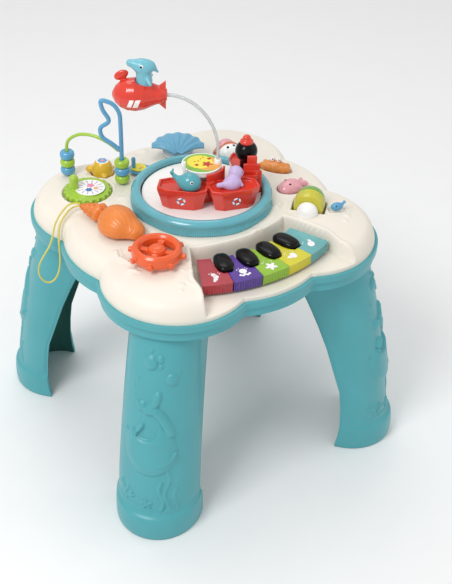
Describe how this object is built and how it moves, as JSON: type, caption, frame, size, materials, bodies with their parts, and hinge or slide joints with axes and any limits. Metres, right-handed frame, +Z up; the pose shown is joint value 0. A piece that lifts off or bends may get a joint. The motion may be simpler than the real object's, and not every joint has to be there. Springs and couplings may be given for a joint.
{
  "type": "musical activity table",
  "caption": "Standing-height toddler activity table with a lobed deck on curved legs, spinning boats, dials, beads, buttons and a small keyboard.",
  "frame": {"origin": "centre of the four feet, on the floor", "axes": "+Z up, -Y the keyboard side, +X to the right of someone facing the keyboard from the front"},
  "size_m": [0.4532, 0.4532, 0.559],
  "materials": {
    "black": "gloss moulded plastic",
    "blue": "gloss moulded plastic",
    "board": "solder mask",
    "clear": "clear moulded plastic",
    "cord_yellow": "woven cord",
    "cream": "satin moulded plastic",
    "key_green": "translucent plastic",
    "key_purple": "translucent plastic",
    "key_red": "translucent plastic",
    "key_teal": "translucent plastic",
    "key_yellow": "translucent plastic",
    "lilac": "soft touch plastic",
    "lime": "gloss moulded plastic",
    "mirror": "mirror film",
    "orange": "gloss moulded plastic",
    "orange_red": "gloss moulded plastic",
    "pink": "gloss moulded plastic",
    "red": "gloss moulded plastic",
    "ring_teal": "translucent moulded plastic",
    "roller_green": "translucent plastic",
    "rubber": "silicone",
    "sky": "gloss moulded plastic",
    "steel": "zinc plated",
    "teal": "satin moulded plastic",
    "whale_teal": "soft touch plastic",
    "white": "gloss moulded plastic",
    "yellow": "gloss moulded plastic"
  },
  "bodies": {
    "root": {"top_deck": "cream", "lower_tray": "teal", "battery_door": "teal", "batteries": "steel", "battery_contacts": "steel", "leg_back_right": "teal", "leg_back_left": "teal", "leg_front_left": "teal", "leg_front_right": "teal", "light_ring": "ring_teal", "bead_wire_blue": "blue", "bead_wire_green": "lime", "small_dial_plate": "sky", "scallop_pin": "steel", "scallop_mirror": "mirror", "roller_axle": "white", "half_ball": "white", "circuit_board": "board", "rubber_domes": "rubber", "speaker": "black", "case_screws": "steel"},
    "carousel": {"turntable": "white", "turntable_spigot": "white", "boat_carousel": "red", "whale_figure": "whale_teal", "whale_sail": "white", "seal_figure": "lilac", "penguin_figure": "black", "penguin_cap": "red"},
    "flyer": {"centre_column": "white", "column_cap": "yellow", "arc_arm": "clear", "plane_body": "red", "shark_figure": "sky"},
    "beads_left": {"beads_left_blue": "blue", "beads_left_green": "lime"},
    "beads_right": {"beads_right_green": "lime", "beads_right_blue": "blue"},
    "gear": {"gear_dial": "lime"},
    "small_dial": {"small_dial_disc": "yellow", "small_dial_peg": "blue"},
    "turtle": {"turtle_button": "yellow"},
    "monkey": {"monkey_button": "white"},
    "crab": {"crab_button": "orange"},
    "fish": {"fish_button": "pink"},
    "switch": {"slide_switch": "blue"},
    "roller_drum": {"roller": "roller_green"},
    "scallop": {"scallop_lid": "blue"},
    "handset": {"conch_handset": "orange", "wrist_cord": "cord_yellow"},
    "wheel": {"ships_wheel": "orange_red"},
    "key_body_red": {"key_red": "key_red"},
    "key_body_purple": {"key_purple": "key_purple"},
    "key_body_green": {"key_green": "key_green"},
    "key_body_yellow": {"key_yellow": "key_yellow"},
    "key_body_teal": {"key_teal": "key_teal"},
    "black_body_1": {"black_key_1": "black"},
    "black_body_2": {"black_key_2": "black"},
    "black_body_3": {"black_key_3": "black"},
    "black_body_4": {"black_key_4": "black"}
  },
  "joints": [
    {"name": "carousel_spin", "type": "hinge", "parent": "root", "child": "carousel", "pos_m": [0, 0, 0.37], "axis": [0, 0, 1], "continuous": true},
    {"name": "flyer_spin", "type": "hinge", "parent": "root", "child": "flyer", "pos_m": [0, 0, 0.411], "axis": [0, 0, 1], "continuous": true},
    {"name": "beads_left_slide", "type": "slide", "parent": "root", "child": "beads_left", "axis": [0, 0, 1], "range_m": [0, 0.004]},
    {"name": "beads_right_slide", "type": "slide", "parent": "root", "child": "beads_right", "axis": [0, 0, 1], "range_m": [0, 0.004]},
    {"name": "gear_turn", "type": "hinge", "parent": "root", "child": "gear", "pos_m": [-0.12, 0.1035, 0.355], "axis": [0, 0, 1], "continuous": true},
    {"name": "small_dial_turn", "type": "hinge", "parent": "root", "child": "small_dial", "pos_m": [-0.034, 0.1125, 0.36], "axis": [0, 0, 1], "continuous": true},
    {"name": "wheel_turn", "type": "hinge", "parent": "root", "child": "wheel", "pos_m": [-0.121, -0.09, 0.362], "axis": [0, 0, 1], "continuous": true},
    {"name": "roller_spin", "type": "hinge", "parent": "root", "child": "roller_drum", "pos_m": [0.118, -0.086, 0.3585], "axis": [0.7071, 0.7071, 0], "continuous": true},
    {"name": "scallop_hinge", "type": "hinge", "parent": "root", "child": "scallop", "pos_m": [0.027, 0.106, 0.3615], "axis": [0.8572, -0.515, 0], "range_deg": [-14, 56]},
    {"name": "switch_slide", "type": "slide", "parent": "root", "child": "switch", "axis": [0.9511, -0.309, 0], "range_m": [-0.0032, 0.0032]},
    {"name": "handset_lift", "type": "slide", "parent": "root", "child": "handset", "axis": [0, 0, 1], "range_m": [0, 0.08]},
    {"name": "turtle_press", "type": "slide", "parent": "root", "child": "turtle", "axis": [0, 0, -1], "range_m": [0, 0.0025], "stiffness_N_per_m": 160, "springref_m": -0.002},
    {"name": "monkey_press", "type": "slide", "parent": "root", "child": "monkey", "axis": [0, 0, -1], "range_m": [0, 0.0025], "stiffness_N_per_m": 160, "springref_m": -0.002},
    {"name": "crab_press", "type": "slide", "parent": "root", "child": "crab", "axis": [0, 0, -1], "range_m": [0, 0.0025], "stiffness_N_per_m": 160, "springref_m": -0.002},
    {"name": "fish_press", "type": "slide", "parent": "root", "child": "fish", "axis": [0, 0, -1], "range_m": [0, 0.0025], "stiffness_N_per_m": 160, "springref_m": -0.002},
    {"name": "key_red_press", "type": "slide", "parent": "root", "child": "key_body_red", "axis": [0, 0, -1], "range_m": [0, 0.0025], "stiffness_N_per_m": 160, "springref_m": -0.002},
    {"name": "key_purple_press", "type": "slide", "parent": "root", "child": "key_body_purple", "axis": [0, 0, -1], "range_m": [0, 0.0025], "stiffness_N_per_m": 160, "springref_m": -0.002},
    {"name": "key_green_press", "type": "slide", "parent": "root", "child": "key_body_green", "axis": [0, 0, -1], "range_m": [0, 0.0025], "stiffness_N_per_m": 160, "springref_m": -0.002},
    {"name": "key_yellow_press", "type": "slide", "parent": "root", "child": "key_body_yellow", "axis": [0, 0, -1], "range_m": [0, 0.0025], "stiffness_N_per_m": 160, "springref_m": -0.002},
    {"name": "key_teal_press", "type": "slide", "parent": "root", "child": "key_body_teal", "axis": [0, 0, -1], "range_m": [0, 0.0025], "stiffness_N_per_m": 160, "springref_m": -0.002},
    {"name": "black_key_1_press", "type": "slide", "parent": "root", "child": "black_body_1", "axis": [0, 0, -1], "range_m": [0, 0.0025], "stiffness_N_per_m": 160, "springref_m": -0.002},
    {"name": "black_key_2_press", "type": "slide", "parent": "root", "child": "black_body_2", "axis": [0, 0, -1], "range_m": [0, 0.0025], "stiffness_N_per_m": 160, "springref_m": -0.002},
    {"name": "black_key_3_press", "type": "slide", "parent": "root", "child": "black_body_3", "axis": [0, 0, -1], "range_m": [0, 0.0025], "stiffness_N_per_m": 160, "springref_m": -0.002},
    {"name": "black_key_4_press", "type": "slide", "parent": "root", "child": "black_body_4", "axis": [0, 0, -1], "range_m": [0, 0.0025], "stiffness_N_per_m": 160, "springref_m": -0.002}
  ]
}
